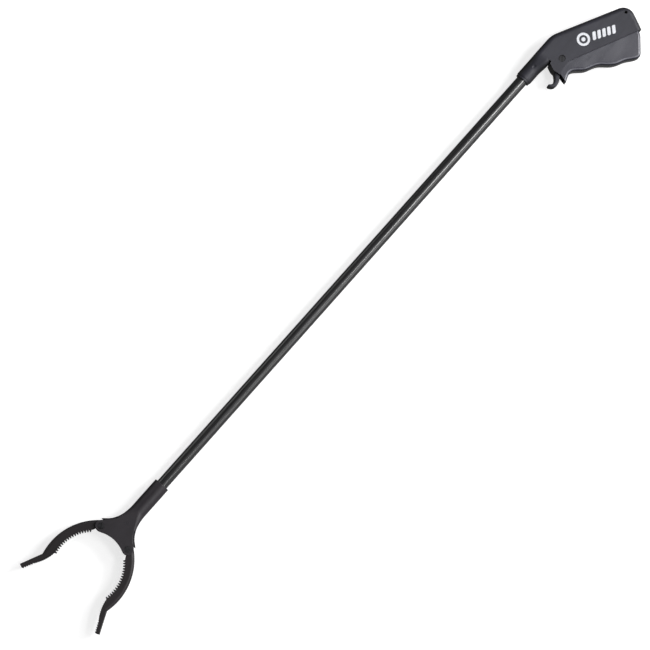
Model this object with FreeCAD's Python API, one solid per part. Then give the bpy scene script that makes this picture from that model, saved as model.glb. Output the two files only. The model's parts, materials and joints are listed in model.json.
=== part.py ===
"""Reacher grabber, 97 cm class: squeeze the trigger and two toothed jaws close.

Working axes: X runs along the tube towards the rear of the handle, with 0 at the
front end of the handle collar; Y points to the palm side; Z points out of the
handle's right side.  The trigger pushes a rod through the tube, the rod pushes a
crosshead with two cam slots, and the slots swing the jaws.  At the end everything
is shifted so that the origin is the middle of the underside of the lying tool.
All sizes are millimetres and degrees.
"""
import os
from math import acos, atan2, cos, hypot, pi, radians, sin, sqrt, tan

import FreeCAD
import Part

V = FreeCAD.Vector

# ---------------------------------------------------------------- driving sizes
TUBE_R = 7.0
TUBE_WALL = 0.8
TUBE_VISIBLE = 640.0            # between the two collars
TUBE_IN_HANDLE = 26.0
TUBE_IN_FORK = 37.5
FIT = 0.03                      # radial gap of parts that are pressed or glued
RUN = 0.06                      # radial gap of parts that turn or slide

# handle
COLLAR_R = 9.6
GRIP_HALF = 13.5                # half thickness of the handle body
WALL = 2.5
PALM_ROUND = 6.0                # rounding of the palm edge
TRIGGER_PIVOT = (49.2, -18.3)
LANYARD = (142.3, -38.6)
LANYARD_R = 1.85
LANYARD_POST_R = 2.95
REAR_TOP = (153.3, -34.9)       # corner of palm edge and rear wall before rounding
REAR_BOTTOM = (140.0, -65.9)
BELLY = (52.9, -26.5)           # front end of the long lower edge
NECK_START = 16.0
NECK_END = 38.0
NECK_BOTTOM = -11.0
HANDLE_SCREWS = [(62.5, 0.4), (88.0, -13.0), (126.0, -31.5)]
HANDLE_BOSS_R = 3.4             # screw bosses of the right shell; those of the left are wider
HANDLE_SCREW_R = 1.4
TUBE_STUD_X = 19.5
STUD_R = 1.9

# trigger
TRIGGER_HALF = 10.4
TRIGGER_SIDE = 2.0
TRIGGER_FACE = 2.2
TRIGGER_SWING = 12.8            # degrees from rest to fully squeezed
TRIGGER_TUCK = 0.7              # how far the side walls reach into the handle
TRIGGER_REACH = 99.4            # rear corner to pivot
HUB_R = 5.5
HUB_HALF = 9.2
CHEEK_IN, CHEEK_OUT = 3.1, 6.1  # lug cheeks, distance from the middle plane
TRIGGER_REAR_ANGLE = radians(-28.0)
FINGER_LINE = [
    (31.8, -40.5), (37.4, -38.1), (44.0, -36.7), (51.1, -41.3), (58.6, -48.4), (66.4, -52.2),
    (73.6, -56.4), (80.8, -64.3), (88.8, -71.3), (98.8, -76.2), (106.1, -81.7), (110.9, -84.8),
    (114.5, -85.6), (117.9, -83.8), (121.9, -80.4), (126.7, -76.1), (131.2, -72.1),
    (134.2, -69.1), (135.9, -66.4)]
HOLLOW_STEPS = 60
TRIGGER_RIBS = ((70.0, -52.9, -38.0), (92.0, -71.6, -48.0), (114.0, -83.9, -59.0))
LUG_R = 4.5

# pivot hardware of the trigger
BUSH_R = 3.5
PIVOT_SCREW_R = 2.5
PIVOT_HEAD_R = 3.8
PIVOT_RECESS_R = 4.1
NUT_FLATS = 7.0

# push rod and spring
ROD_R = 2.0
ROD_END_FRONT = 42.5
ROD_END_REAR = 54.0
CROSS_PIN_R = 1.5
SPRING_R = 4.0                  # mean radius of the coils
SPRING_WIRE_R = 0.5
SPRING_TURNS = 6

# head
PIVOT_Y = 20.7                  # jaw pivots either side of the tube axis
PIVOT_BEHIND = 82.5             # jaw pivots ahead of the fork's collar end
FORK_HALF = 9.5
PLATE = 2.7
EAR_R = 6.8
FORK_WALL = 1.8
FORK_COLLAR_R = 9.5
FORK_SCREW_BACK = 31.0          # cover screws, behind the pivots
FORK_SCREW_OUT = 7.6
FORK_SCREW_R = 1.1
COLLAR_SCREW_BACK = 10.5        # ahead of the fork collar's rear end
COLLAR_SCREW_R = 1.3
CROTCH_R = 38.0                 # arc between the two ears
CROTCH_AHEAD = 2.0
JAW_HALF = 6.5
ROOT_R = 6.8
JAW_SWING = 31.6                # degrees, from wide open to closed tips
JAW_BUSH_R = 3.0
JAW_SCREW_R = 2.0
JAW_HEAD_R = 3.6
OUTER_ARC_R = 72.0
OUTER_ARC_AHEAD = 51.0
INNER_ARC_R = 50.8              # valley circle of the big teeth
INNER_ARC_AHEAD = 47.0
INNER_ARC_Y = -9.1
TOOTH_DEPTH = 2.6
TOOTH_COUNT = 17
TOOTH_ANGLES = (46.0, -14.0)    # degrees around the centre of the valley circle
BEND = ((60.6, 40.8), (72.6, 44.3), (83.6, 50.6))       # reverse bend, as (ahead, out)
BEND_RIDGES = 10
TIP_PAD = ((84.2, 51.2), (96.4, 57.2))
TIP_TEETH = 5
TIP_OUT = (94.6, 61.6)
KNEE_AHEAD = 68.6
JAW_RIM_ROUND = 3.6
DRIVE_PIN_R = 1.25
DRIVE_BACK, DRIVE_IN = 4.5, 13.0    # drive pin behind and inboard of its pivot
CROSSHEAD_HALF = 1.4
CROSSHEAD_HUB_R = 4.2
ROLL_PIN_BACK = 27.0
ROLL_PIN_R = 1.0

# ---------------------------------------------------------------- derived sizes
PX, PY = TRIGGER_PIVOT
FORK_END_X = -TUBE_VISIBLE                     # rear end of the fork's collar
JAW_X = FORK_END_X - PIVOT_BEHIND              # line of the two jaw pivots
BELLY_SLOPE = (REAR_BOTTOM[1] - BELLY[1]) / (REAR_BOTTOM[0] - BELLY[0])
STROKE = -PY * tan(radians(TRIGGER_SWING))     # rod travel
TUBE_FRONT_X = FORK_END_X - TUBE_IN_FORK
TUBE_IN_R = TUBE_R - TUBE_WALL
CAVITY_HALF = GRIP_HALF - WALL + 0.1
PLATE_IN = FORK_HALF - PLATE                   # inner face of the fork's plates

nodes = {}


# ---------------------------------------------------------------- small helpers
def point(x, y, z=0.0):
    return V(x, y, z)


def rounded_wire(corners):
    """Closed outline through (x, y, radius) corners, each rounded by an arc."""
    count = len(corners)
    starts, mids, ends = [], [], []
    for i, (x, y, r) in enumerate(corners):
        here = V(x, y, 0)
        before = (V(*corners[i - 1][:2], 0) - here).normalize()
        after = (V(*corners[(i + 1) % count][:2], 0) - here).normalize()
        if r <= 0:
            starts.append(here)
            mids.append(None)
            ends.append(here)
            continue
        half = acos(max(-1.0, min(1.0, before.dot(after)))) / 2
        reach = r / tan(half)
        centre = here + (before + after).normalize() * (r / sin(half))
        starts.append(here + before * reach)
        mids.append(centre + (here - centre).normalize() * r)
        ends.append(here + after * reach)
    edges = []
    for i in range(count):
        if mids[i] is not None:
            edges.append(Part.Arc(starts[i], mids[i], ends[i]).toShape())
        following = starts[(i + 1) % count]
        if (following - ends[i]).Length > 1e-6:
            edges.append(Part.LineSegment(ends[i], following).toShape())
    return Part.Wire(edges)


def spline(points):
    curve = Part.BSplineCurve()
    curve.interpolate([V(*p) if len(p) == 3 else V(p[0], p[1], 0) for p in points])
    return curve.toShape()


def polyline(points):
    vectors = [V(x, y, 0) for x, y in points]
    return [Part.LineSegment(a, b).toShape() for a, b in zip(vectors, vectors[1:])]


def prism(wire, low, high):
    face = Part.Face(wire)
    solid = face.extrude(V(0, 0, high - low))
    solid.translate(V(0, 0, low))
    return solid


def cylinder_z(x, y, r, low, high):
    return Part.makeCylinder(r, high - low, V(x, y, low), V(0, 0, 1))


def cylinder_x(r, x0, x1, y=0.0, z=0.0):
    return Part.makeCylinder(r, x1 - x0, V(x0, y, z), V(1, 0, 0))


def box(x0, x1, y0, y1, z0, z1):
    return Part.makeBox(x1 - x0, y1 - y0, z1 - z0, V(x0, y0, z0))


def hexagon(x, y, across_flats, low, high):
    r = across_flats / sqrt(3)
    corners = [(x + r * cos(k * pi / 3), y + r * sin(k * pi / 3), 0) for k in range(6)]
    return prism(rounded_wire(corners), low, high)


def mirror_y(shape):
    return shape.mirror(V(0, 0, 0), V(0, 1, 0))


def mirror_z(shape):
    return shape.mirror(V(0, 0, 0), V(0, 0, 1))


def fuse(shape, *others):
    """Join the others to the shape one after the other."""
    for other in others:
        shape = shape.fuse(other)
    return shape.removeSplitter()


def carve(shape, *tools):
    """Cut the tools away one after the other."""
    for tool in tools:
        shape = shape.cut(tool)
    return shape


def hull_of_circles(a, ra, b, rb):
    """Outline of the convex hull of two circles (centres as x, y pairs)."""
    dx, dy = b[0] - a[0], b[1] - a[1]
    length = hypot(dx, dy)
    along = atan2(dy, dx)
    tilt = acos((ra - rb) / length)

    def on(centre, r, angle):
        return V(centre[0] + r * cos(angle), centre[1] + r * sin(angle), 0)

    edges = [
        Part.LineSegment(on(a, ra, along - tilt), on(b, rb, along - tilt)).toShape(),
        Part.Arc(on(b, rb, along - tilt), on(b, rb, along), on(b, rb, along + tilt)).toShape(),
        Part.LineSegment(on(b, rb, along + tilt), on(a, ra, along + tilt)).toShape(),
        Part.Arc(on(a, ra, along + tilt), on(a, ra, along + pi), on(a, ra, along - tilt)).toShape(),
    ]
    return Part.Wire(edges)


def largest(shape):
    return max(shape.Solids, key=lambda solid: solid.Volume)


def slotted_screw(x, y, head_r, head_low, head_high, shank_r, shank_low, slot_wide=1.0):
    """Screw whose head faces +Z, with a straight driver slot and a rounded rim."""
    head = cylinder_z(x, y, head_r, head_low, head_high)
    head = head.makeFillet(0.4, [e for e in head.Edges if rim_at(e, head_high)])
    shank = cylinder_z(x, y, shank_r, shank_low, head_low)
    slot = box(x - head_r, x + head_r, y - slot_wide / 2, y + slot_wide / 2,
               head_high - 0.8, head_high + 1)
    slot.rotate(V(x, y, 0), V(0, 0, 1), 35)
    return fuse(head, shank).cut(slot)


def rim_at(edge, z):
    """True for a full circular edge that lies in the plane at height z."""
    bounds = edge.BoundBox
    return abs(bounds.ZMin - z) < 1e-4 and abs(bounds.ZMax - z) < 1e-4 and len(edge.Vertexes) == 1


# ---------------------------------------------------------------- handle
def belly_line(x):
    """Height of the grip's long lower edge."""
    return BELLY[1] + BELLY_SLOPE * (x - BELLY[0])


def grip_corners():
    return [
        (NECK_END, COLLAR_R, 0),
        (62.5, COLLAR_R, 30),
        (*REAR_TOP, 14),
        (*REAR_BOTTOM, 0),
        (*BELLY, 10),
        (40.0, -27.2, 14),
        (33.0, -29.6, 0.8),
        (31.8, -20.0, 10),
        (35.2, -11.6, 1.0),
        (NECK_END, NECK_BOTTOM, 0),
    ]


def neck_section(share):
    """Section across the neck: from the round collar (0) to the deep grip (1)."""
    ease = share * share * (3 - 2 * share)
    half = COLLAR_R + (GRIP_HALF - COLLAR_R) * ease
    low = -COLLAR_R + (NECK_BOTTOM + COLLAR_R) * ease
    radius = (COLLAR_R - 0.1) + (PALM_ROUND - COLLAR_R + 0.1) * ease
    wire = rounded_wire([(-half, low, radius), (half, low, radius),
                         (half, COLLAR_R, radius), (-half, COLLAR_R, radius)])
    x = NECK_START + (NECK_END - NECK_START) * share
    # the section is drawn with its width along X and is turned across the tube
    wire.rotate(V(0, 0, 0), V(0, 1, 0), -90)
    wire.translate(V(x, 0, 0))
    return wire


def hook():
    """Finger hook under the neck, open towards the tube."""
    inner = spline([(36.0, -10.8), (34.3, -16.0), (31.9, -21.0), (28.6, -25.5),
                    (24.9, -28.8), (21.7, -29.9), (19.0, -29.1), (17.1, -27.1)])
    tip = Part.Arc(point(17.1, -27.1), point(15.2, -26.8), point(14.5, -28.6)).toShape()
    outer = spline([(14.5, -28.6), (16.1, -31.8), (18.7, -34.0), (22.1, -34.8),
                    (26.6, -33.9), (30.4, -31.8), (33.6, -29.0)])
    back = polyline([(33.6, -29.0), (37.0, -26.0), (39.0, -10.8), (36.0, -10.8)])
    wire = Part.Wire(Part.sortEdges([inner, tip, outer] + back)[0])
    solid = prism(wire, -8.0, 8.0)
    rim = [e for e in solid.Edges
           if abs(abs(e.BoundBox.ZMin) - 8.0) < 1e-3 and abs(e.BoundBox.ZMax - e.BoundBox.ZMin) < 1e-3
           and e.CenterOfMass.x < 34.5]
    return solid.makeFillet(1.4, rim)


def handle_outside():
    grip = prism(rounded_wire(grip_corners()), -GRIP_HALF, GRIP_HALF)
    palm_edges = []
    for edge in grip.Edges:
        flat = edge.BoundBox.ZLength < 1e-4
        middle = edge.CenterOfMass
        if flat and middle.y > belly_line(middle.x) + 3 and middle.x > NECK_END + 1:
            palm_edges.append(edge)
    grip = grip.makeFillet(PALM_ROUND, palm_edges)
    steps = 6
    neck = Part.makeLoft([neck_section(i / steps) for i in range(steps + 1)], True, False)
    collar = cylinder_x(COLLAR_R, 3.0, NECK_START + 0.5)
    lip = cylinder_x(COLLAR_R - 0.7, 0.0, 3.2)
    lip = lip.makeFillet(0.5, [e for e in lip.Edges if e.BoundBox.XMax < 0.01])
    return fuse(grip, neck, collar, lip, hook())


def handle_cavity():
    """Spaces inside the two shells: trigger room and mouth, tube socket, spring room."""
    inner = Part.Face(rounded_wire(grip_corners())).makeOffset2D(-WALL)
    room = inner.extrude(V(0, 0, 2 * CAVITY_HALF))
    room.translate(V(0, 0, -CAVITY_HALF))
    mouth = prism(rounded_wire([
        (34.7, -22.0, 0), (33.8, -31.0, 0), (34.0, -45.0, 0), (133.2, -75.5, 0),
        (141.3, -57.3, 0), (60.0, -25.0, 0)]), -CAVITY_HALF, CAVITY_HALF)
    socket = cylinder_x(TUBE_R + FIT, -1.0, TUBE_IN_HANDLE + 0.2)
    spring_room = cylinder_x(5.6, TUBE_IN_HANDLE, NECK_END + 6)
    lug_room = cylinder_x(6.9, NECK_END + 1, NECK_END + 6)
    return room, mouth, socket, spring_room, lug_room


def build_handle():
    outside = handle_outside()
    hollow = carve(outside, *handle_cavity())
    right_half = box(-10, 180, -120, 40, 0, 40)
    left_half = box(-10, 180, -120, 40, -40, 0)

    # posts that stand between the side walls, one half on each shell
    lanyard_post = cylinder_z(*LANYARD, LANYARD_POST_R, 0, CAVITY_HALF + 0.5)
    right = fuse(largest(hollow.common(right_half)), lanyard_post)
    left = fuse(largest(hollow.common(left_half)), mirror_z(lanyard_post))
    lanyard_hole = cylinder_z(*LANYARD, LANYARD_R, -20, 20)

    # trigger pivot: thickened rings inside both walls
    ring = cylinder_z(PX, PY, 5.8, 9.7, CAVITY_HALF + 0.5)
    right = fuse(right, ring)
    left = fuse(left, mirror_z(ring))
    right = right.cut(cylinder_z(PX, PY, PIVOT_RECESS_R, GRIP_HALF - 2.0, 20))
    right = right.cut(cylinder_z(PX, PY, PIVOT_SCREW_R + FIT, 5, 20))
    left = left.cut(cylinder_z(PX, PY, PIVOT_SCREW_R + FIT, -20, -5))
    left = left.cut(hexagon(PX, PY, NUT_FLATS + 0.1, -20, -GRIP_HALF + 2.6))

    # screw bosses: blind holes in the right shell, counterbored holes in the left one
    for x, y in HANDLE_SCREWS:
        right = fuse(right, cylinder_z(x, y, HANDLE_BOSS_R, 0, CAVITY_HALF + 0.5))
        right = right.cut(cylinder_z(x, y, HANDLE_SCREW_R + FIT, -1, 8.0))
        left = fuse(left, cylinder_z(x, y, HANDLE_BOSS_R + 0.8, -CAVITY_HALF - 0.5, 0))
        left = left.cut(cylinder_z(x, y, HANDLE_SCREW_R + 1.6, -20, -5.5))
        left = left.cut(cylinder_z(x, y, HANDLE_SCREW_R + 0.15, -6, 1))

    # studs that enter holes in the tube, with the dimple each leaves outside
    stud = cylinder_z(TUBE_STUD_X, 0, STUD_R, TUBE_IN_R + 0.2, TUBE_R + 1.0)
    dimple = Part.makeSphere(6.0, V(TUBE_STUD_X, 0, COLLAR_R + 5.75))
    right = fuse(right, stud).cut(dimple)
    left = fuse(left, mirror_z(stud)).cut(mirror_z(dimple))

    # shallow round moulding mark near the rear wall
    right = right.cut(cylinder_z(139.3, -51.5, 3.1, GRIP_HALF - 0.15, 20))
    nodes["handle_shell_right"] = largest(right.cut(lanyard_hole))
    nodes["handle_shell_left"] = largest(left.cut(lanyard_hole))

    screws = []
    for x, y in HANDLE_SCREWS:
        screw = slotted_screw(x, y, HANDLE_SCREW_R + 1.3, 5.5, 7.1, HANDLE_SCREW_R, -7.5)
        screws.append(mirror_z(screw))
    nodes["handle_screws"] = Part.makeCompound(screws)


def build_trigger_pivot():
    head_low = GRIP_HALF - 2.0
    nodes["trigger_pivot_screw"] = slotted_screw(
        PX, PY, PIVOT_HEAD_R, head_low, head_low + 1.5, PIVOT_SCREW_R, -GRIP_HALF + 0.4)
    bush = cylinder_z(PX, PY, BUSH_R, -9.65, 9.65)
    nodes["trigger_pivot_bush"] = bush.cut(cylinder_z(PX, PY, PIVOT_SCREW_R + FIT, -12, 12))
    nut = hexagon(PX, PY, NUT_FLATS, -GRIP_HALF + 0.3, -GRIP_HALF + 2.6)
    nodes["trigger_pivot_nut"] = nut.cut(cylinder_z(PX, PY, PIVOT_SCREW_R + FIT, -20, 20))


# ---------------------------------------------------------------- trigger
def tuck_line(x):
    """Height at which the trigger's open top edge disappears inside the grip."""
    return belly_line(x) + TRIGGER_TUCK * sqrt(1 + BELLY_SLOPE ** 2)


def trigger_front_and_bottom():
    """Outer line of the lever from its front tip along the finger grooves to the rear top."""
    rear_x = PX + TRIGGER_REACH * cos(TRIGGER_REAR_ANGLE)
    return spline(FINGER_LINE + [(rear_x, tuck_line(rear_x))])


def trigger_wire():
    outer = trigger_front_and_bottom()
    rear_top = outer.Vertexes[-1].Point
    top = [(rear_top.x, rear_top.y), (57.5, tuck_line(57.5)), (54.5, -14.0), (45.5, -13.2),
           (38.2, -17.5), (34.4, -29.6), FINGER_LINE[0]]
    return Part.Wire(Part.sortEdges([outer] + polyline(top))[0])


def trigger_hollow_wire():
    """The outer line moved inwards by the face thickness, and closed well above the lever."""
    curve = trigger_front_and_bottom().Curve
    inner = []
    for step in range(HOLLOW_STEPS + 1):
        u = curve.FirstParameter + (curve.LastParameter - curve.FirstParameter) * step / HOLLOW_STEPS
        tangent = curve.tangent(u)[0]
        inner.append(curve.value(u) + V(-tangent.y, tangent.x, 0) * TRIGGER_FACE)
    above = inner[-1] + tangent * 9
    closing = [(inner[-1].x, inner[-1].y), (above.x, above.y), (57.5, -6.0), (24.0, -6.0),
               (24.0, inner[0].y), (inner[0].x, inner[0].y)]
    edges = [spline([(p.x, p.y) for p in inner])] + polyline(closing)
    return Part.Wire(Part.sortEdges(edges)[0])


def build_trigger():
    shell = prism(trigger_wire(), -TRIGGER_HALF, TRIGGER_HALF)
    rim = []
    for edge in shell.Edges:
        middle = edge.CenterOfMass
        if abs(abs(middle.z) - TRIGGER_HALF) > 1e-3 or abs(edge.BoundBox.ZLength) > 1e-3:
            continue
        if middle.y < tuck_line(middle.x) - 3.0 and middle.x > 40:
            rim.append(edge)
    shell = shell.makeFillet(3.6, rim)
    inside = TRIGGER_HALF - TRIGGER_SIDE
    hollow = prism(trigger_hollow_wire(), -inside, inside)
    shell = shell.cut(hollow)
    for z0, z1 in ((HUB_HALF + 0.1, 20), (-20, -HUB_HALF - 0.1)):
        shell = shell.cut(cylinder_z(PX, PY, 6.4, z0, z1))
    for x, low, high in TRIGGER_RIBS:
        shell = shell.fuse(box(x - 0.8, x + 0.8, low, high, -inside - 0.2, inside + 0.2))
    hub = cylinder_z(PX, PY, HUB_R, -HUB_HALF, HUB_HALF)
    cheek = prism(hull_of_circles(TRIGGER_PIVOT, HUB_R, (PX, 0.4), LUG_R), CHEEK_IN, CHEEK_OUT)
    lug = fuse(hub, cheek, mirror_z(cheek))
    trigger = fuse(shell, lug)
    trigger = trigger.cut(cylinder_z(PX, PY, BUSH_R + RUN, -20, 20))
    slot_half = CROSS_PIN_R + RUN
    radial_slot = prism(hull_of_circles((PX, -0.15), slot_half, (PX, 0.95), slot_half - 1e-3), -8, 8)
    nodes["trigger"] = largest(trigger.cut(radial_slot))


# ---------------------------------------------------------------- rod and spring
def build_rod_end():
    block = box(ROD_END_FRONT + 1.5, ROD_END_REAR, -3.6, 3.6, -CHEEK_IN + 0.35, CHEEK_IN - 0.35)
    seat = cylinder_x(4.8, ROD_END_FRONT, ROD_END_FRONT + 1.6)
    end = fuse(block, seat)
    end = end.cut(cylinder_x(ROD_R + FIT, ROD_END_FRONT - 1, PX - 3.2))
    end = end.cut(cylinder_z(PX, 0, CROSS_PIN_R + FIT / 2, -10, 10))
    nodes["rod_end"] = end
    nodes["rod_cross_pin"] = cylinder_z(PX, 0, CROSS_PIN_R, -CHEEK_OUT - 0.6, CHEEK_OUT + 0.6)
    rod_front = JAW_X + 21.5
    rod = cylinder_x(ROD_R, rod_front, PX - 3.4)
    nodes["push_rod"] = rod.cut(cylinder_z(JAW_X + ROLL_PIN_BACK, 0, ROLL_PIN_R + FIT / 2, -6, 6))


def build_spring():
    front = TUBE_IN_HANDLE + 2.2
    rear = ROD_END_FRONT
    height = rear - front - 2 * SPRING_WIRE_R - 0.1
    helix = Part.makeHelix(height / SPRING_TURNS, height, SPRING_R)
    section = Part.Wire(Part.makeCircle(SPRING_WIRE_R, V(SPRING_R, 0, 0), V(0, 1, 0)))
    coil = Part.Wire(helix).makePipeShell([section], True, True)
    coil.rotate(V(0, 0, 0), V(0, 1, 0), 90)
    coil.translate(V(front + SPRING_WIRE_R + 0.05, 0, 0))
    nodes["return_spring"] = coil


def build_tube():
    rear = TUBE_IN_HANDLE
    tube = cylinder_x(TUBE_R, TUBE_FRONT_X, rear).cut(
        cylinder_x(TUBE_IN_R, TUBE_FRONT_X - 1, rear + 1))
    tube = tube.cut(cylinder_z(TUBE_STUD_X, 0, STUD_R + FIT, -10, 10))
    tube = tube.cut(cylinder_z(FORK_END_X - COLLAR_SCREW_BACK, 0, COLLAR_SCREW_R + FIT, -10, 0))
    nodes["tube"] = tube

    bush = cylinder_x(TUBE_IN_R - FIT, rear - 4.5, rear)
    flange = cylinder_x(5.5, rear - 0.1, rear + 2.2)
    rear_bush = fuse(bush, flange).cut(cylinder_x(ROD_R + RUN, rear - 9, rear + 4))
    nodes["spring_guide_bush"] = rear_bush
    front_bush = cylinder_x(TUBE_IN_R - FIT, TUBE_FRONT_X, TUBE_FRONT_X + 12)
    nodes["front_rod_bush"] = front_bush.cut(
        cylinder_x(ROD_R + RUN, TUBE_FRONT_X - 1, TUBE_FRONT_X + 13))
    gap = (rear - TUBE_FRONT_X) / 4
    for number in (1, 2, 3):
        middle = TUBE_FRONT_X + number * gap
        guide = cylinder_x(TUBE_IN_R - FIT, middle - 5, middle + 5)
        waist = cylinder_x(TUBE_IN_R + 1, middle - 2.5, middle + 2.5).cut(
            cylinder_x(TUBE_IN_R - 1.5, middle - 3, middle + 3))
        guide = guide.cut(waist).cut(cylinder_x(ROD_R + RUN, middle - 6, middle + 6))
        nodes["rod_guide_%d" % number] = guide


# ---------------------------------------------------------------- head
# In the head, "back" is the distance behind the jaw pivots, towards the handle.
WALL_LINE = [(7.0, 26.2), (9.6, 23.4), (13.6, 18.9), (17.8, 15.7), (22.5, 13.1),
             (27.4, 11.3), (33.0, 10.2), (41.0, 9.5)]
# stations along the neck: back, half width, corner radius
SHOULDER = [(11.0, 22.3, 1.2), (16.0, 17.5, 2.2), (21.0, 14.3, 3.2), (26.0, 12.2, 4.2),
            (31.0, 10.9, 5.4), (36.0, 10.1, 7.4), (41.4, 9.62, 9.4)]


def offset_line(line, inward):
    """The same line of (back, out) points, moved inward square to itself."""
    moved = []
    for i, (back, out) in enumerate(line):
        b0, o0 = line[max(i - 1, 0)]
        b1, o1 = line[min(i + 1, len(line) - 1)]
        length = hypot(b1 - b0, o1 - o0)
        moved.append((back + inward * (o1 - o0) / length, out - inward * (b1 - b0) / length))
    return moved


def at_head(points, side=1):
    return [(JAW_X + back, side * out) for back, out in points]


def crotch_back(out):
    """How far behind the pivots the arc between the ears lies (negative: ahead)."""
    return -CROTCH_AHEAD - (CROTCH_R - sqrt(CROTCH_R ** 2 - out ** 2))


def plate_wire():
    """Outline of one fork plate with its two ears."""
    line = offset_line(WALL_LINE, 1.9)[1:6] + [(33.0, 9.2)]
    ear_out = radians(38)
    on_ear = (EAR_R * sin(ear_out), PIVOT_Y + EAR_R * cos(ear_out))
    upper = spline(at_head([on_ear] + line))
    lower = spline(at_head([on_ear] + line, -1))
    inner = PIVOT_Y - 3.4
    edge_in = (-sqrt(EAR_R ** 2 - 3.4 ** 2), inner)
    ears = []
    for side in (1, -1):
        ears.append(Part.Arc(point(JAW_X + on_ear[0], side * on_ear[1]),
                             point(JAW_X - EAR_R * 0.6, side * (PIVOT_Y + EAR_R * 0.8)),
                             point(JAW_X + edge_in[0], side * edge_in[1])).toShape())
    meet = [(JAW_X + edge_in[0], inner), (JAW_X + crotch_back(inner - 1.2), inner - 1.2)]
    crotch = Part.Arc(point(meet[1][0], meet[1][1]), point(JAW_X - CROTCH_AHEAD, 0),
                      point(meet[1][0], -meet[1][1])).toShape()
    rear_x = JAW_X + line[-1][0]
    edges = [upper, lower, crotch] + ears
    edges += polyline(meet)
    edges += polyline([(x, -y) for x, y in meet])
    edges += polyline([(rear_x, line[-1][1]), (rear_x, -line[-1][1])])
    return Part.Wire(Part.sortEdges(edges)[0])


def neck_wire(inward):
    """Outline of the flared neck between its walls, behind the jaws."""
    line = offset_line(WALL_LINE, inward)
    edges = [spline(at_head(line)), spline(at_head(line, -1))]
    for back, out in (line[0], line[-1]):
        edges += polyline([(JAW_X + back, out), (JAW_X + back, -out)])
    return Part.Wire(Part.sortEdges(edges)[0])


def fork_collar():
    collar = cylinder_x(FORK_COLLAR_R, JAW_X + 36, FORK_END_X)
    rear_rim = [e for e in collar.Edges if e.BoundBox.XMin > FORK_END_X - 0.01]
    return collar.makeFillet(0.6, rear_rim)


def shoulder_section(back, half_width, radius):
    """Rounded rectangle across the neck, its long sides on the fork's outer faces."""
    corners = [(half_width, FORK_HALF, radius), (half_width, -FORK_HALF, radius),
               (-half_width, -FORK_HALF, radius), (-half_width, FORK_HALF, radius)]
    wire = rounded_wire(corners)
    wire.rotate(V(0, 0, 0), V(1, 0, 0), 90)
    wire.rotate(V(0, 0, 0), V(0, 0, 1), 90)
    wire.translate(V(JAW_X + back, 0, 0))
    return wire


def shoulder_cutter():
    """What is taken off the neck's corners, so that the round collar runs out into flat plates."""
    stations = [shoulder_section(*station) for station in SHOULDER]
    core = Part.makeLoft(stations, True, False)
    first, last = SHOULDER[0][0], SHOULDER[-1][0]
    around = box(JAW_X + first, JAW_X + last, -30, 30, -15, 15)
    return around.cut(core)


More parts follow.
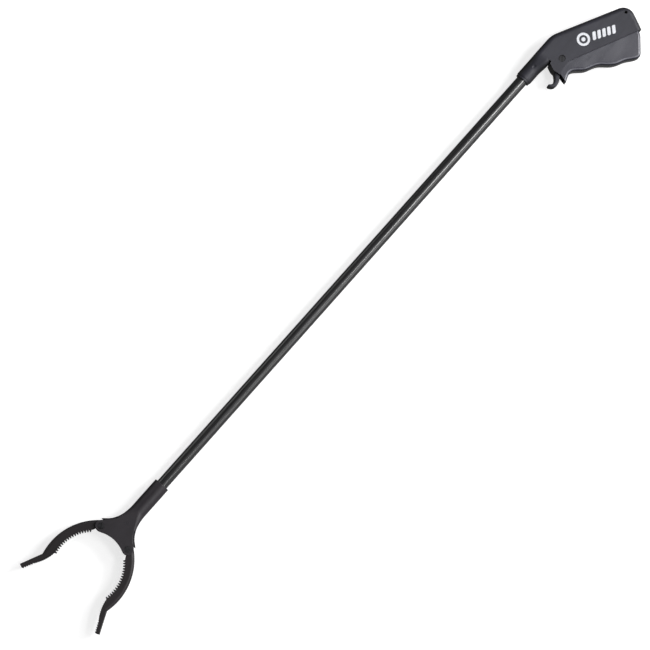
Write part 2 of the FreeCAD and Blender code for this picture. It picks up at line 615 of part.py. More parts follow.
def build_fork():
    neck = prism(neck_wire(0.0), -FORK_HALF, FORK_HALF)
    long_edges = []
    for edge in neck.Edges:
        if edge.BoundBox.ZLength < 1e-3 and edge.BoundBox.XLength > 5:
            long_edges.append(edge)
    neck = neck.makeFillet(2.4, long_edges)
    inside = prism(neck_wire(FORK_WALL), -PLATE_IN, PLATE_IN)
    inside = inside.common(box(JAW_X - 20, JAW_X + 33, -40, 40, -20, 20))
    mouth = box(JAW_X - 20, JAW_X + 9, -24, 24, -PLATE_IN, PLATE_IN)
    rod_room = cylinder_x(5.0, JAW_X + 30, TUBE_FRONT_X + 1)
    socket = cylinder_x(TUBE_R + FIT, TUBE_FRONT_X - 0.1, FORK_END_X + 1)
    plate = prism(plate_wire(), PLATE_IN, FORK_HALF)
    plate_rim = [e for e in plate.Edges
                 if e.BoundBox.ZMin > FORK_HALF - 1e-3 and e.CenterOfMass.x < JAW_X + 30]
    plate = plate.makeFillet(0.6, plate_rim)
    whole_neck = fuse(neck, fork_collar())
    lip = crotch_lip()
    split_x = JAW_X + 38.0
    seam = JAW_X + 21.0

    # body: front plate, upper half of the neck, the whole round collar
    upper_neck = whole_neck.common(box(seam, FORK_END_X + 5, -40, 40, 0, 40))
    upper_neck = fuse(upper_neck, whole_neck.common(box(split_x, FORK_END_X + 5, -40, 40, -40, 40)))
    body = fuse(upper_neck, plate, lip)
    screw_x = JAW_X + FORK_SCREW_BACK
    posts = []
    for side in (1, -1):
        posts.append(cylinder_z(screw_x, side * FORK_SCREW_OUT, 2.5, 0, FORK_HALF - 1))
    body = carve(body, inside, rod_room)
    body = fuse(body, *[p.common(neck) for p in posts]).cut(socket)

    # cover: back plate, side walls and the lower half of the neck
    cover = whole_neck.common(box(JAW_X - 20, split_x - 0.15, -40, 40, -40, 0))
    walls = prism(neck_wire(0.0), 0, PLATE_IN - 0.1).common(
        box(JAW_X, seam - 0.15, -40, 40, 0, 40))
    cover = fuse(cover, walls, mirror_z(plate), mirror_z(lip))
    cover = carve(cover, inside, mouth, rod_room)
    cover = fuse(cover, *[mirror_z(p).common(neck) for p in posts]).cut(socket)

    for side in (1, -1):
        y = side * PIVOT_Y
        body = body.cut(cylinder_z(JAW_X, y, JAW_HEAD_R + 0.25, FORK_HALF - 1.4, 20))
        body = body.cut(cylinder_z(JAW_X, y, JAW_SCREW_R + FIT, 0, 20))
        cover = cover.cut(cylinder_z(JAW_X, y, JAW_SCREW_R + FIT, -20, 0))
        cover = cover.cut(hexagon(JAW_X, y, 5.6, -20, -FORK_HALF + 1.3))
        out = side * FORK_SCREW_OUT
        body = body.cut(cylinder_z(screw_x, out, FORK_SCREW_R + FIT, -1, 6.0))
        cover = cover.cut(cylinder_z(screw_x, out, FORK_SCREW_R + 0.15, -20, 1))
        cover = cover.cut(cylinder_z(screw_x, out, FORK_SCREW_R + 1.0, -20, -5.5))
    collar_screw_x = FORK_END_X - COLLAR_SCREW_BACK
    body = body.cut(cylinder_z(collar_screw_x, 0, COLLAR_SCREW_R + FIT, -20, 0))
    body = body.cut(cylinder_z(collar_screw_x, 0, 2.5, -20, -FORK_COLLAR_R + 1.0))
    shoulder = shoulder_cutter()
    nodes["fork_body"] = largest(body.cut(shoulder))
    nodes["fork_back_cover"] = largest(cover.cut(shoulder))

    screws = []
    for side in (1, -1):
        screws.append(mirror_z(slotted_screw(
            screw_x, side * FORK_SCREW_OUT, 1.95, 5.5, 6.7, FORK_SCREW_R, -5.6, 0.6)))
    nodes["fork_cover_screws"] = Part.makeCompound(screws)
    nodes["fork_collar_screw"] = mirror_z(slotted_screw(
        collar_screw_x, 0, 2.3, FORK_COLLAR_R - 1.0, FORK_COLLAR_R + 0.2, COLLAR_SCREW_R, 5.0, 0.6))


def crotch_lip():
    """Low rib under the front plate that closes the arc between the jaws' tails."""
    half_width = 9.5
    depth = 1.5
    outer = Part.Arc(point(JAW_X + crotch_back(half_width), half_width), point(JAW_X - CROTCH_AHEAD, 0),
                     point(JAW_X + crotch_back(half_width), -half_width)).toShape()
    inner_ends = JAW_X + crotch_back(half_width) + depth
    inner = Part.Arc(point(inner_ends, -half_width), point(JAW_X - CROTCH_AHEAD + depth, 0),
                     point(inner_ends, half_width)).toShape()
    sides = polyline([(JAW_X + crotch_back(half_width), -half_width), (inner_ends, -half_width)])
    sides += polyline([(inner_ends, half_width), (JAW_X + crotch_back(half_width), half_width)])
    return prism(Part.Wire(Part.sortEdges([outer, inner] + sides)[0]), 2.2, PLATE_IN)


def jaw_edge_in():
    """Inner edge of a jaw from its root to its tip, as (ahead, out) points."""
    centre = (INNER_ARC_AHEAD, INNER_ARC_Y)
    first, last = TOOTH_ANGLES
    pitch = (first - last) / TOOTH_COUNT

    def on_arc(angle, lift):
        r = INNER_ARC_R - lift
        return (centre[0] - r * sin(radians(angle)), centre[1] + r * cos(radians(angle)))

    points = [on_arc(first + 1.6, 0)]
    for k in range(TOOTH_COUNT):
        start = first - k * pitch
        points += [on_arc(start, 0), on_arc(start - 0.30 * pitch, TOOTH_DEPTH),
                   on_arc(start - 0.62 * pitch, TOOTH_DEPTH), on_arc(start - 0.88 * pitch, 0)]

    # low ridges on the reverse bend towards the tip
    bend = Part.Arc(*[point(*p) for p in BEND]).toShape().Curve
    low = bend.parameter(point(*BEND[0]))
    high = bend.parameter(point(*BEND[2]))
    for k in range(BEND_RIDGES):
        for share, lift in ((0.0, 0.0), (0.35, 0.45), (0.65, 0.45)):
            t = low + (high - low) * (k + share) / BEND_RIDGES
            spot = bend.value(t)
            away = (bend.Center - spot).normalize()
            if away.y > 0:
                away = away * -1
            points.append((spot.x + away.x * lift, spot.y + away.y * lift))

    # coarser teeth on the tip pad
    start, end = TIP_PAD
    along = V(end[0] - start[0], end[1] - start[1], 0)
    inward = V(along.y, -along.x, 0).normalize()
    for k in range(TIP_TEETH):
        for share, lift in ((0.0, 0.0), (0.25, 1.1), (0.6, 1.1), (0.85, 0.0)):
            spot = V(start[0], start[1], 0) + along * ((k + share) / TIP_TEETH) + inward * lift
            points.append((spot.x, spot.y))
    points.append(end)
    return points


def jaw_outline():
    """Inner edge and three points of the outer arc, as (ahead, out) points."""
    inner = jaw_edge_in()
    reach = OUTER_ARC_R - ROOT_R
    arc_y = PIVOT_Y - sqrt(reach ** 2 - OUTER_ARC_AHEAD ** 2)

    def on_outer(ahead):
        return (ahead, arc_y + sqrt(OUTER_ARC_R ** 2 - (ahead - OUTER_ARC_AHEAD) ** 2))

    touch = (-OUTER_ARC_AHEAD / reach * ROOT_R, PIVOT_Y + (PIVOT_Y - arc_y) / reach * ROOT_R)
    return inner, touch, on_outer(KNEE_AHEAD / 2), on_outer(KNEE_AHEAD)


def build_jaw(side):
    inner, touch, middle, knee = jaw_outline()

    def place(p):
        return point(JAW_X - p[0], p[1])

    # arm with the rounded outer rim, root to knee
    rim = Part.Arc(place(touch), place(middle), place(knee)).toShape()
    knee_in = min(inner, key=lambda p: hypot(p[0] - knee[0], p[1] - knee[1]))
    to_knee = inner[:inner.index(knee_in) + 1]
    path = [knee] + to_knee[::-1] + [(0.0, PIVOT_Y), touch]
    arm_edges = [rim]
    for a, b in zip(path, path[1:]):
        arm_edges.append(Part.LineSegment(place(a), place(b)).toShape())
    arm = prism(Part.Wire(Part.sortEdges(arm_edges)[0]), -JAW_HALF, JAW_HALF)
    outer_rim = [e for e in arm.Edges if e.BoundBox.ZLength < 1e-3 and e.Length > 60
                 and e.CenterOfMass.y > 40]
    arm = arm.makeFillet(JAW_RIM_ROUND, outer_rim)

    # straight tip beyond the knee
    rest = [knee] + inner[inner.index(knee_in) - 3:] + [TIP_OUT, knee]
    tip = prism(Part.Wire([Part.LineSegment(place(a), place(b)).toShape()
                           for a, b in zip(rest, rest[1:])]), -JAW_HALF, JAW_HALF)
    back_edges = [e for e in tip.Edges if e.BoundBox.ZLength < 1e-3 and e.Length > 20]
    tip = tip.makeFillet(1.3, back_edges)

    root = cylinder_z(JAW_X, PIVOT_Y, ROOT_R, -JAW_HALF, JAW_HALF)
    drive = (JAW_X + DRIVE_BACK, PIVOT_Y - DRIVE_IN)
    tail_half = JAW_HALF - 0.6
    tail = prism(hull_of_circles((JAW_X, PIVOT_Y), ROOT_R - 0.05, drive, 2.6), -tail_half, tail_half)
    keep = cylinder_z(JAW_X, PIVOT_Y, ROOT_R + 0.1, -JAW_HALF, JAW_HALF)
    tail = tail.cut(box(JAW_X - 12, JAW_X + 20, 0, PIVOT_Y - 1, -CROSSHEAD_HALF - 0.4,
                        CROSSHEAD_HALF + 0.4).cut(keep))
    jaw = fuse(arm, tip, root, tail)
    jaw = jaw.cut(cylinder_z(JAW_X, PIVOT_Y, JAW_BUSH_R + RUN, -20, 20))
    jaw = largest(jaw.cut(cylinder_z(*drive, DRIVE_PIN_R + FIT / 2, -20, 20)))
    pin = cylinder_z(*drive, DRIVE_PIN_R, -tail_half, tail_half)
    bush = cylinder_z(JAW_X, PIVOT_Y, JAW_BUSH_R, -PLATE_IN, PLATE_IN).cut(
        cylinder_z(JAW_X, PIVOT_Y, JAW_SCREW_R + FIT, -20, 20))
    screw = slotted_screw(JAW_X, PIVOT_Y, JAW_HEAD_R, FORK_HALF - 1.4, FORK_HALF - 0.2,
                          JAW_SCREW_R, -FORK_HALF + 0.2)
    if side < 0:
        jaw, pin, bush, screw = [mirror_y(s) for s in (jaw, pin, bush, screw)]
    name = "upper" if side > 0 else "lower"
    nodes["jaw_" + name] = jaw
    nodes["drive_pin_" + name] = pin
    nodes["jaw_bush_" + name] = bush
    nodes["jaw_pivot_screw_" + name] = screw


def build_jaw_nuts():
    nuts = []
    for side in (1, -1):
        nut = hexagon(JAW_X, side * PIVOT_Y, 5.5, -FORK_HALF + 0.1, -FORK_HALF + 1.3)
        nuts.append(nut.cut(cylinder_z(JAW_X, side * PIVOT_Y, JAW_SCREW_R + FIT, -20, 20)))
    nodes["jaw_pivot_nuts"] = Part.makeCompound(nuts)


def cam_slot():
    """Slot that turns the crosshead's stroke into an equal share of jaw swing."""
    half = DRIVE_PIN_R + RUN
    samples = 9
    middle = []
    for i in range(samples):
        share = -0.04 + 1.08 * i / (samples - 1)
        angle = radians(JAW_SWING * share)
        back = DRIVE_BACK * cos(angle) + DRIVE_IN * sin(angle) + STROKE * share
        out = PIVOT_Y + DRIVE_BACK * sin(angle) - DRIVE_IN * cos(angle)
        middle.append((back, out))
    sides = [offset_line(middle, half), offset_line(middle, -half)]
    edges = [spline(at_head(side)) for side in sides]
    for end, beyond in ((0, 1), (-1, -2)):
        dx = middle[end][0] - middle[beyond][0]
        dy = middle[end][1] - middle[beyond][1]
        length = hypot(dx, dy)
        cap = (middle[end][0] + half * dx / length, middle[end][1] + half * dy / length)
        three = at_head([sides[0][end], cap, sides[1][end]])
        edges.append(Part.Arc(*[point(*p) for p in three]).toShape())
    return prism(Part.Wire(Part.sortEdges(edges)[0]), -5, 5)


def build_crosshead():
    half = CROSSHEAD_HALF
    outline = []
    right_side = [(2.2, 10.3, 1.5), (14.6, 14.7, 2.0), (17.5, 12.6, 2.0), (22.5, 4.2, 2.0)]
    for back, out, r in right_side:
        outline.append((JAW_X + back, out, r))
    for back, out, r in reversed(right_side):
        outline.append((JAW_X + back, -out, r))
    outline += [(JAW_X + 2.2, -5.4, 1.0), (JAW_X + 6.5, -3.6, 2.0), (JAW_X + 6.5, 3.6, 2.0),
                (JAW_X + 2.2, 5.4, 1.0)]
    plate = prism(rounded_wire(outline), -half, half)
    slot = cam_slot()
    plate = plate.cut(slot).cut(mirror_y(slot))
    hub = cylinder_x(CROSSHEAD_HUB_R, JAW_X + 20.0, JAW_X + 31.0)
    head = fuse(plate, hub)
    head = head.cut(cylinder_x(ROD_R + FIT, JAW_X + 21.3, JAW_X + 40))
    head = head.cut(cylinder_z(JAW_X + ROLL_PIN_BACK, 0, ROLL_PIN_R + FIT / 2, -6, 6))
    nodes["crosshead"] = head
    nodes["crosshead_roll_pin"] = cylinder_z(JAW_X + ROLL_PIN_BACK, 0, ROLL_PIN_R, -4.1, 4.1)


# ---------------------------------------------------------------- assembly
def main():
    build_handle()
    build_trigger_pivot()
    build_trigger()
    build_rod_end()
    build_spring()
    build_tube()
    build_fork()
    for side in (1, -1):
        build_jaw(side)
    build_jaw_nuts()
    build_crosshead()

    whole = Part.makeCompound(list(nodes.values())).optimalBoundingBox(False)
    shift = V(-(whole.XMin + whole.XMax) / 2, -(whole.YMin + whole.YMax) / 2, -whole.ZMin)
    print("size", round(whole.XLength, 2), round(whole.YLength, 2), round(whole.ZLength, 2))
    print("shift", round(shift.x, 4), round(shift.y, 4), round(shift.z, 4))
    os.makedirs("parts", exist_ok=True)
    for name, shape in nodes.items():
        shape.translate(shift)
        if not shape.isValid():
            print("not valid:", name)
        shape.exportStep("parts/%s.step" % name)


main()
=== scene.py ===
"""Reacher grabber: materials, small details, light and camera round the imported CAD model."""
import json
import math

import bmesh
import bpy
from mathutils import Matrix, Vector
from mathutils.bvhtree import BVHTree

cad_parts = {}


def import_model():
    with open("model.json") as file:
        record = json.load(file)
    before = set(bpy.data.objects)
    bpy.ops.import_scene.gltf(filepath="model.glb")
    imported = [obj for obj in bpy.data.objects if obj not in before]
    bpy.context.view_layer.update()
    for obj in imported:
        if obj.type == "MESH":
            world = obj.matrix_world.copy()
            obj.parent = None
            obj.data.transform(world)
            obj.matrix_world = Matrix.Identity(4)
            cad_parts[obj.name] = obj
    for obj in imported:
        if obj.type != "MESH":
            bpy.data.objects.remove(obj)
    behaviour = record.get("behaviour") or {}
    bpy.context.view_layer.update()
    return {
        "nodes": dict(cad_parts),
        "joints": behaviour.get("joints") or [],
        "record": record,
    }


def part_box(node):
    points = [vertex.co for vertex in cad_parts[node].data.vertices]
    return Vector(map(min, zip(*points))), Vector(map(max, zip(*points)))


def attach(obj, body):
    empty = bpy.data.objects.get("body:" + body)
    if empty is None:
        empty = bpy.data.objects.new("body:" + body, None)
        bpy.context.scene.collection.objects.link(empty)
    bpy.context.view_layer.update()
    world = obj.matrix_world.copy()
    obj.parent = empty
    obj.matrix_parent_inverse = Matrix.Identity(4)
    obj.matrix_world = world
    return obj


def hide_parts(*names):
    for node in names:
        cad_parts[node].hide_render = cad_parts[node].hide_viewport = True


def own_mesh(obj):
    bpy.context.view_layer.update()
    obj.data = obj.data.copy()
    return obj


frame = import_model()
nodes = frame["nodes"]
joints = {joint["name"]: joint for joint in frame["joints"]}
MM = 0.001
FORK_NODES = ("fork_body", "fork_back_cover")

# Where the handle's two shells and each jaw's two mould halves meet.
MIDDLE_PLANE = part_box("handle_shell_right")[0][2]
ABOVE_MIDDLE = MIDDLE_PLANE + 0.02 * MM
PIVOT_SPOT = Vector(joints["trigger_squeeze"]["pos_m"])

# Printed decoration, in mm from the ring's centre.
MARK_AT = Vector((PIVOT_SPOT.x + 34.3 * MM, PIVOT_SPOT.y - 3.9 * MM,
                  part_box("handle_shell_right")[1][2] - 0.01 * MM))
MARK_TURN = math.radians(-29.6)
PRINT_HIGH = 0.06 * MM
PRINT_CORNER = 0.7 * MM
RING_R, RING_HOLE_R, DOT_R = 8.0, 5.1, 2.5
BARS = 5
BARS_FROM = 11.6
BAR_WIDE, BAR_HIGH, BAR_PITCH, BAR_SLANT = 4.1, 10.0, 6.2, 2.4

# Lines and rings that a mould leaves: names, places or radii in mm, and radii of the ridges.
GATE_BEHIND_BUSH = 19.5 * MM
GATE_RINGS = [("fork_gate_ring", 2.3, 0.16), ("fork_gate_point", 0.5, 0.14)]
TRIGGER_LINE_R = 0.11
TRIGGER_LINES = [
    ("trigger_gate_line", (37.0, -31.5), (30.5, -37.5)),
    ("trigger_tick_1", (22.4, -21.0), (19.6, -24.0)),
    ("trigger_tick_2", (24.2, -22.0), (21.4, -25.0)),
    ("trigger_tick_3", (26.0, -23.0), (23.2, -26.0)),
]
SEAM_R = 0.1
SEAM_LEAST = 4 * MM
SEAM_CLEAR = 80 * MM
WELD = 1e-6
OFF_SURFACE = 2e-5

PICTURE_PX = 650
CAMERA_PX = 3000
CAMERA_AT = (-0.4288, -0.1014, 3.505)
CAMERA_FORWARD = (0.1109, 0.0271, -0.9935)
CAMERA_UP = (0.7423, 0.6624, 0.1010)

# Name, place, point aimed at, size and power of each light.
LIGHTS = [
    ("right_softbox", (2.6, -1.5, 2.4), (0.1, 0, 0), (1.4, 1.0), 90),
    ("broad_side", (0.55, -2.5, 1.6), (0.1, 0, 0), (1.2, 1.6), 9),
    ("finger_strip", (-0.4, -2.2, 2.9), (0.42, -0.06, 0), (0.6, 0.3), 6),
    ("right_low", (2.6, -2.4, 0.5), (0, 0, 0), (1.6, 0.8), 40),
    ("top_strip", (0.95, -1.35, 3.0), (0.2, 0, 0), (0.9, 0.45), 24),
    ("back_rim", (-0.6, 2.8, 0.8), (0, 0, 0), (2.4, 0.8), 8),
    ("rear_panel", (1.42, 0.0, 3.3), (0.4, 0, 0), (0.5, 0.6), 7),
]


# ---------------------------------------------------------------- materials
class Graph:
    """A material's node tree with short ways to add and join nodes."""

    def __init__(self, name):
        self.material = bpy.data.materials.new(name)
        self.material.use_nodes = True
        self.tree = self.material.node_tree
        self.shader = self.tree.nodes["Principled BSDF"]

    def add(self, kind, **values):
        node = self.tree.nodes.new(kind)
        for key, value in values.items():
            setattr(node, key, value)
        return node

    def link(self, a, b):
        self.tree.links.new(a, b)

    def noise(self, vector, scale, detail=2.0, rough=0.5):
        node = self.add("ShaderNodeTexNoise")
        node.inputs["Scale"].default_value = scale
        node.inputs["Detail"].default_value = detail
        node.inputs["Roughness"].default_value = rough
        self.link(vector, node.inputs["Vector"])
        return node.outputs["Fac"]

    def span(self, value, low, high, to_low, to_high):
        node = self.add("ShaderNodeMapRange")
        node.inputs["From Min"].default_value = low
        node.inputs["From Max"].default_value = high
        node.inputs["To Min"].default_value = to_low
        node.inputs["To Max"].default_value = to_high
        self.link(value, node.inputs["Value"])
        return node.outputs["Result"]

    def math(self, operation, a, b):
        node = self.add("ShaderNodeMath", operation=operation)
        for socket, value in zip(node.inputs, (a, b)):
            if isinstance(value, (int, float)):
                socket.default_value = value
            else:
                self.link(value, socket)
        return node.outputs["Value"]

    def mix(self, factor, low, high):
        node = self.add("ShaderNodeMix", data_type="RGBA")
        self.link(factor, node.inputs["Factor"])
        for socket, value in ((node.inputs[6], low), (node.inputs[7], high)):
            if isinstance(value, tuple):
                socket.default_value = (*value, 1.0)
            else:
                self.link(value, socket)
        return node.outputs[2]

    def bump(self, height, strength, distance, below=None):
        node = self.add("ShaderNodeBump")
        node.inputs["Strength"].default_value = strength
        node.inputs["Distance"].default_value = distance
        self.link(height, node.inputs["Height"])
        if below is not None:
            self.link(below, node.inputs["Normal"])
        return node.outputs["Normal"]

    def place(self, scale=(1, 1, 1)):
        coords = self.add("ShaderNodeTexCoord").outputs["Object"]
        mapping = self.add("ShaderNodeMapping")
        mapping.inputs["Scale"].default_value = scale
        self.link(coords, mapping.inputs["Vector"])
        return mapping.outputs["Vector"]

    def set(self, **values):
        for key, value in values.items():
            name = key.replace("_", " ")
            self.shader.inputs[name].default_value = value


def moulded_plastic(name, dark, light, rough, grain, grain_depth, specular=0.5, painted_rim_highlight=None,
                    painted_side_shade=None, painted_shade_until=0.80):
    """Injection-moulded plastic: spark-eroded grain, cloudy tone, faint long flow streaks.

    The optional rim tone is a painted highlight: a lighter colour, in patches, along rounded rims
    that tilt part way from flat.
    The optional side tone is painted shade: a darker colour on upright surfaces; it fades out as
    the surface turns flat, and is gone at the flatness given with it.
    """
    fade = 0.45
    g = Graph(name)
    where = g.place()
    cloud = g.noise(where, 30, 3)
    fine = g.noise(where, grain, 2, 0.6)
    flow = g.noise(g.place((0.12, 1, 1)), 160, 3, 0.55)
    tone = g.math("ADD", g.math("MULTIPLY", cloud, 0.6), g.math("MULTIPLY", flow, 0.4))
    colour = g.mix(g.span(tone, 0.38, 0.64, 0, 1), dark, light)
    normal = g.add("ShaderNodeSeparateXYZ")
    g.link(g.add("ShaderNodeTexCoord").outputs["Normal"], normal.inputs["Vector"])
    flat = g.math("ABSOLUTE", normal.outputs["Z"], 0)
    # Painted highlight: a lighter tone, in patches, on rims tilted part way from the object's Z
    # axis.
    if painted_rim_highlight:
        highlight_rim_mask = g.math("MULTIPLY", g.span(flat, 0.70, 0.88, 0, 1), g.span(flat, 0.94, 0.99, 1, 0))
        highlight_patches = g.span(g.noise(where, 70, 3, 0.6), 0.3, 0.6, 0.45, 1)
        colour = g.mix(g.math("MULTIPLY", highlight_rim_mask, highlight_patches), colour, painted_rim_highlight)
    # Painted shade: a darker tone on surfaces that turn away from the object's Z axis, fading out
    # towards flat faces.
    if painted_side_shade:
        colour = g.mix(g.span(flat, painted_shade_until - fade, painted_shade_until, 1, 0), colour, painted_side_shade)
    g.link(colour, g.shader.inputs["Base Color"])
    g.link(g.math("ADD", g.span(tone, 0.35, 0.65, rough + 0.04, rough - 0.05),
                  g.span(fine, 0.3, 0.7, -0.06, 0.06)), g.shader.inputs["Roughness"])
    waves = g.bump(g.noise(where, 95, 2), 0.12, 0.0002)
    g.link(g.bump(fine, 0.6, grain_depth, waves), g.shader.inputs["Normal"])
    g.set(Specular_IOR_Level=specular)
    return g.material


def gloss_tube(name):
    """Painted round tube: smooth black coat with a slight orange peel and fine lengthwise rubs."""
    g = Graph(name)
    rubs = g.noise(g.place((0.03, 1, 1)), 900, 3, 0.6)
    peel = g.noise(g.place(), 420, 2)
    g.link(g.mix(g.span(rubs, 0.4, 0.7, 0, 1), (0.0085, 0.0085, 0.009), (0.016, 0.016, 0.017)),
           g.shader.inputs["Base Color"])
    g.link(g.span(rubs, 0.3, 0.7, 0.24, 0.36), g.shader.inputs["Roughness"])
    g.link(g.bump(peel, 0.25, 0.00004), g.shader.inputs["Normal"])
    g.set(Specular_IOR_Level=0.7, Coat_Weight=0.8, Coat_Roughness=0.16)
    return g.material


def metal(name, dark, light, rough, size=700, metallic=1.0, depth=0.00002):
    """Plated or cast metal: fine grain with cloudy tone."""
    g = Graph(name)
    grain = g.noise(g.place(), size, 3, 0.65)
    cloud = g.noise(g.place(), 120, 3)
    tone = g.math("MULTIPLY", grain, cloud)
    g.link(g.mix(g.span(tone, 0.12, 0.4, 0, 1), dark, light), g.shader.inputs["Base Color"])
    g.link(g.span(grain, 0.3, 0.7, rough - 0.08, rough + 0.08), g.shader.inputs["Roughness"])
    g.link(g.bump(grain, 0.4, depth), g.shader.inputs["Normal"])
    g.set(Metallic=metallic)
    return g.material


def print_ink():
    """Screen-printed white ink: slightly uneven cover over the grain."""
    g = Graph("screen print")
    cover = g.noise(g.place(), 900, 3, 0.6)
    g.link(g.mix(g.span(cover, 0.3, 0.55, 0, 1), (0.62, 0.63, 0.68), (0.83, 0.84, 0.88)),
           g.shader.inputs["Base Color"])
    g.link(g.span(cover, 0.3, 0.7, 0.5, 0.62), g.shader.inputs["Roughness"])
    g.link(g.bump(cover, 0.4, 0.00003), g.shader.inputs["Normal"])
    return g.material


# Fork: the lighter rim tone is a painted highlight along its rounded rims.
fork_plastic = moulded_plastic(
    "fork plastic", (0.021, 0.018, 0.022), (0.031, 0.027, 0.032), 0.50, 1500, 0.0001,
    specular=0.4, painted_rim_highlight=(0.04, 0.036, 0.042))
materials = {
    # Handle: the near-black side tone is painted shade on all but its flattest faces.
    "body_plastic": moulded_plastic(
        "body plastic", (0.021, 0.021, 0.030), (0.030, 0.030, 0.042), 0.52, 1500, 0.00012,
        painted_side_shade=(0.009, 0.009, 0.010), painted_shade_until=0.975),
    # Jaws: the lighter rim tone is a painted highlight along their rounded rims.
    "jaw_plastic": moulded_plastic(
        "jaw plastic", (0.015, 0.013, 0.014), (0.024, 0.020, 0.022), 0.50, 1800, 0.00008,
        specular=0.32, painted_rim_highlight=(0.034, 0.030, 0.032)),
    # Trigger: a bright painted highlight along its rims and painted shade on its upright finger
    # faces.
    "trigger_plastic": moulded_plastic(
        "trigger plastic", (0.029, 0.029, 0.043), (0.040, 0.040, 0.056), 0.30, 1300, 0.00002,
        painted_rim_highlight=(0.17, 0.17, 0.20), painted_side_shade=(0.008, 0.008, 0.011)),
    "tube_gloss_black": gloss_tube("tube coat"),
    "black_screw": metal("blackened steel", (0.018, 0.018, 0.020), (0.05, 0.05, 0.054), 0.42,
                         metallic=0.5),
    "zinc_steel": metal("zinc plated steel", (0.42, 0.43, 0.44), (0.62, 0.63, 0.64), 0.32),
    "spring_steel": metal("spring wire", (0.30, 0.30, 0.31), (0.48, 0.48, 0.50), 0.28),
    "die_cast_zinc": metal("die-cast zinc", (0.34, 0.34, 0.35), (0.50, 0.50, 0.52), 0.5,
                           size=420, depth=0.00006),
    "white_nylon": moulded_plastic(
        "natural nylon", (0.66, 0.65, 0.60), (0.76, 0.75, 0.70), 0.45, 900, 0.00004),
}
slots = {part["node"]: part["material_slot"] for part in frame["record"]["subparts"]}
for name, obj in nodes.items():
    obj.data.materials.clear()
    obj.data.materials.append(fork_plastic if name in FORK_NODES else materials[slots[name]])


# ---------------------------------------------------------------- small details
def finish_piece(obj, body, slot, material=None):
    """Give a piece its finish and the CAD body that it moves with."""
    obj.data.materials.clear()
    obj.data.materials.append(material or materials[slot])
    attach(obj, body)


def add_object(name, data):
    obj = bpy.data.objects.new(name, data)
    bpy.context.collection.objects.link(obj)
    return obj


def circle(u, v, r, count=48):
    return [(u + r * math.cos(2 * math.pi * k / count), v + r * math.sin(2 * math.pi * k / count))
            for k in range(count)]


def on_handle_side(u, v):
    """Point of the handle's right face: u runs back along the grip, v up to the palm edge."""
    along = Vector((math.cos(MARK_TURN), math.sin(MARK_TURN), 0))
    across = Vector((-along.y, along.x, 0))
    return MARK_AT + along * (u * MM) + across * (v * MM)


def printed_shape(name, ink, outline, hole=None):
    """One thin printed shape on the handle's face. The corners of four-sided ones are rounded."""
    bm = bmesh.new()
    loops = [[bm.verts.new(on_handle_side(*p)) for p in loop] for loop in (outline, hole) if loop]
    if hole:
        count = len(outline)
        for i in range(count):
            k = (i + 1) % count
            bm.faces.new((loops[0][i], loops[0][k], loops[1][k], loops[1][i]))
    else:
        bm.faces.new(loops[0])
        if len(outline) == 4:
            bmesh.ops.bevel(bm, geom=bm.verts[:], offset=PRINT_CORNER, segments=3,
                            affect="VERTICES")
    raised = bmesh.ops.extrude_face_region(bm, geom=bm.faces[:])["geom"]
    bmesh.ops.translate(bm, vec=(0, 0, PRINT_HIGH),
                        verts=[v for v in raised if isinstance(v, bmesh.types.BMVert)])
    bmesh.ops.recalc_face_normals(bm, faces=bm.faces[:])
    mesh = bpy.data.meshes.new(name)
    bm.to_mesh(mesh)
    bm.free()
    finish_piece(add_object(name, mesh), "tool", "white_nylon", ink)


def printed_mark():
    """A plain printed decoration: a ring with a dot, and slanted bars."""
    ink = print_ink()
    printed_shape("print_ring", ink, circle(0, 0, RING_R), circle(0, 0, RING_HOLE_R))
    printed_shape("print_dot", ink, circle(0, 0, DOT_R))
    v = BAR_HIGH / 2
    lean = BAR_SLANT / 2
    for number in range(BARS):
        u = BARS_FROM + number * BAR_PITCH
        printed_shape("print_bar_%d" % (number + 1), ink, [
            (u - lean, -v), (u + BAR_WIDE - lean, -v), (u + BAR_WIDE + lean, v), (u + lean, v)])


def raised_line(name, points, radius, body, slot, closed=False):
    """Fine round-backed ridge, half sunk in the surface that its points lie on."""
    data = bpy.data.curves.new(name, "CURVE")
    data.dimensions = "3D"
    data.bevel_depth = radius * MM
    data.bevel_resolution = 3
    line = data.splines.new("POLY")
    line.points.add(len(points) - 1)
    for spot, p in zip(line.points, points):
        spot.co = (*p, 1)
    line.use_cyclic_u = closed
    finish_piece(add_object(name, data), body, slot)


def moulding_marks():
    """Gate rings on the fork plate and fine lines on the trigger's flat side."""
    gate_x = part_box("jaw_bush_upper")[1][0] + GATE_BEHIND_BUSH
    gate_y = (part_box("jaw_bush_upper")[0][1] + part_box("jaw_bush_lower")[1][1]) / 2
    gate_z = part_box("fork_body")[1][2]
    for name, r, wire in GATE_RINGS:
        points = [(gate_x + u * MM, gate_y + v * MM, gate_z) for u, v in circle(0, 0, r)]
        raised_line(name, points, wire, "tool", "body_plastic", closed=True)
    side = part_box("trigger")[1][2]
    for name, *ends in TRIGGER_LINES:
        points = [(PIVOT_SPOT.x + a * MM, PIVOT_SPOT.y + b * MM, side) for a, b in ends]
        raised_line(name, points, TRIGGER_LINE_R, "trigger", "trigger_plastic")


def chain(edges):
    """Join single edges into runs of vertices."""
    left = sorted(edges, key=lambda e: tuple(e.verts[0].co + e.verts[1].co))
    runs = []
    while left:
        first = left.pop(0)
        run = [first.verts[0], first.verts[1]]
        grown = True
        while grown:
            grown = False
            for edge in left:
                a, b = edge.verts
                if run[-1] in (a, b):
                    run.append(b if run[-1] is a else a)
                elif run[0] in (a, b):
                    run.insert(0, b if run[0] is a else a)
                else:
                    continue
                left.remove(edge)
                grown = True
                break
        runs.append(run)
    return runs


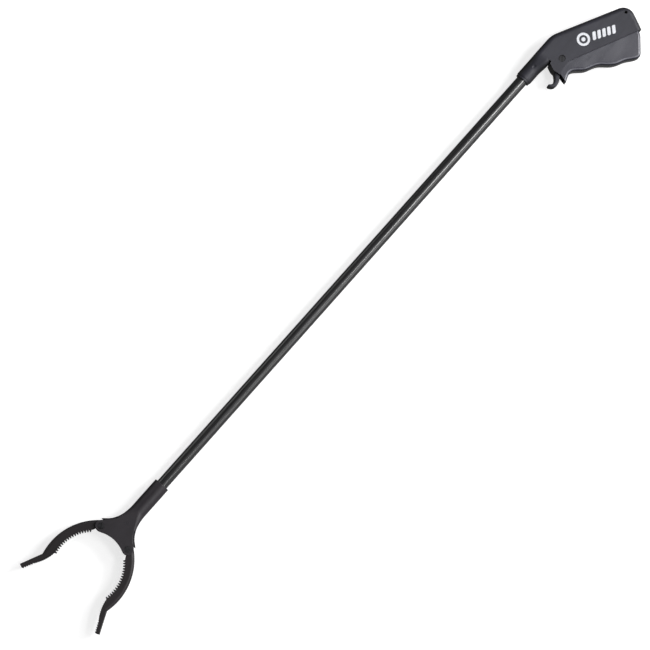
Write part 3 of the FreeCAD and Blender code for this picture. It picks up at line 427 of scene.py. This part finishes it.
def parting_line(node, body, height, beside=()):
    """Fine ridge round the outside of a part, where two mould halves or two shells meet.

    Edges that look at the part itself, or at the nodes beside it, are inside and get no ridge.
    """
    bm = bmesh.new()
    bm.from_mesh(nodes[node].data)
    bmesh.ops.remove_doubles(bm, verts=bm.verts[:], dist=WELD)
    around = bm.copy()
    for other in beside:
        around.from_mesh(nodes[other].data)
    tree = BVHTree.FromBMesh(around)
    around.free()
    cut = bmesh.ops.bisect_plane(bm, geom=bm.verts[:] + bm.edges[:] + bm.faces[:],
                                 plane_co=(0, 0, height), plane_no=(0, 0, 1))["geom_cut"]
    open_edges = []
    for edge in cut:
        if not isinstance(edge, bmesh.types.BMEdge):
            continue
        if not edge.link_faces or edge.calc_length() < WELD:
            continue
        outward = sum((f.normal for f in edge.link_faces), Vector()).normalized()
        outward.z = 0
        if outward.length < 0.3:
            continue
        outward.normalize()
        middle = (edge.verts[0].co + edge.verts[1].co) / 2
        if tree.ray_cast(middle + outward * OFF_SURFACE, outward, SEAM_CLEAR)[0] is None:
            open_edges.append(edge)
    runs = [[v.co.copy() for v in run] for run in chain(open_edges)]
    bm.free()
    long_runs = [run for run in runs
                 if sum((b - a).length for a, b in zip(run, run[1:])) > SEAM_LEAST]
    for number, points in enumerate(long_runs):
        closed = points[0] == points[-1]
        raised_line("%s_parting_%d" % (node, number + 1), points[:-1] if closed else points,
                    SEAM_R, body, slots[node], closed)


def working_spring():
    """Copy of the coil spring, with a mesh of its own, shown in place of the CAD one; the real
    spring shortens as the rod is pushed forward.
    """
    coil = add_object("return_spring_coil", nodes["return_spring"].data.copy())
    finish_piece(coil, "tool", "spring_steel")
    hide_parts("return_spring")
    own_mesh(coil)


# ---------------------------------------------------------------- floor, light and camera
def floor():
    """Pale paper sheet. It lights neither the object's faces nor its reflections."""
    bpy.ops.mesh.primitive_plane_add(size=30, location=(0, 0, -0.4 * MM))
    plane = bpy.context.object
    plane.name = "studio_floor"
    g = Graph("studio paper")
    paper = g.noise(g.place(), 3, 3)
    g.link(g.mix(g.span(paper, 0.3, 0.7, 0, 1), (0.50, 0.50, 0.505), (0.52, 0.52, 0.52)),
           g.shader.inputs["Base Color"])
    g.set(Roughness=0.9, Specular_IOR_Level=0.1)
    g.set(Emission_Color=(1, 1, 1, 1), Emission_Strength=0.72)
    plane.data.materials.append(g.material)
    plane.visible_glossy = False
    plane.visible_diffuse = False


def area_light(name, place, aim, size, power):
    data = bpy.data.lights.new(name, "AREA")
    data.shape = "RECTANGLE"
    data.size, data.size_y = size
    data.energy = power
    light = add_object(name, data)
    light.location = place
    light.rotation_mode = "QUATERNION"
    light.rotation_quaternion = (Vector(aim) - Vector(place)).to_track_quat("-Z", "Y")


def world():
    """Soft room light: brighter on the trigger side than on the palm side."""
    studio = bpy.data.worlds.new("studio")
    studio.use_nodes = True
    tree = studio.node_tree
    background = tree.nodes["Background"]
    coords = tree.nodes.new("ShaderNodeTexCoord")
    side = tree.nodes.new("ShaderNodeVectorMath")
    side.operation = "DOT_PRODUCT"
    side.inputs[1].default_value = (-0.66, 0.75, 0)
    ramp = tree.nodes.new("ShaderNodeMapRange")
    tree.links.new(coords.outputs["Generated"], side.inputs[0])
    tree.links.new(side.outputs["Value"], ramp.inputs["Value"])
    for key, value in (("From Min", -0.8), ("From Max", 0.5), ("To Min", 0.34), ("To Max", 0.09)):
        ramp.inputs[key].default_value = value
    tree.links.new(ramp.outputs["Result"], background.inputs["Strength"])
    background.inputs["Color"].default_value = (1, 1, 1, 1)
    bpy.context.scene.world = studio


def camera():
    data = bpy.data.cameras.new("photo_camera")
    cam = add_object("photo_camera", data)
    data.sensor_width = 36.0
    data.lens = CAMERA_PX * data.sensor_width / PICTURE_PX
    forward, up = Vector(CAMERA_FORWARD).normalized(), Vector(CAMERA_UP)
    right = forward.cross(up).normalized()
    up = right.cross(forward)
    cam.matrix_world = Matrix((
        (right.x, up.x, -forward.x, CAMERA_AT[0]),
        (right.y, up.y, -forward.y, CAMERA_AT[1]),
        (right.z, up.z, -forward.z, CAMERA_AT[2]),
        (0, 0, 0, 1)))
    data.clip_start, data.clip_end = 0.05, 100
    bpy.context.scene.camera = cam


printed_mark()
moulding_marks()
working_spring()
for jaw in ("jaw_upper", "jaw_lower"):
    parting_line(jaw, jaw, MIDDLE_PLANE)
parting_line("handle_shell_right", "tool", ABOVE_MIDDLE, beside=("trigger",))
parting_line("fork_body", "tool", ABOVE_MIDDLE, beside=("fork_back_cover", "tube"))
floor()
world()
for lamp in LIGHTS:
    area_light(*lamp)
camera()
bpy.context.scene.view_settings.view_transform = "Standard"
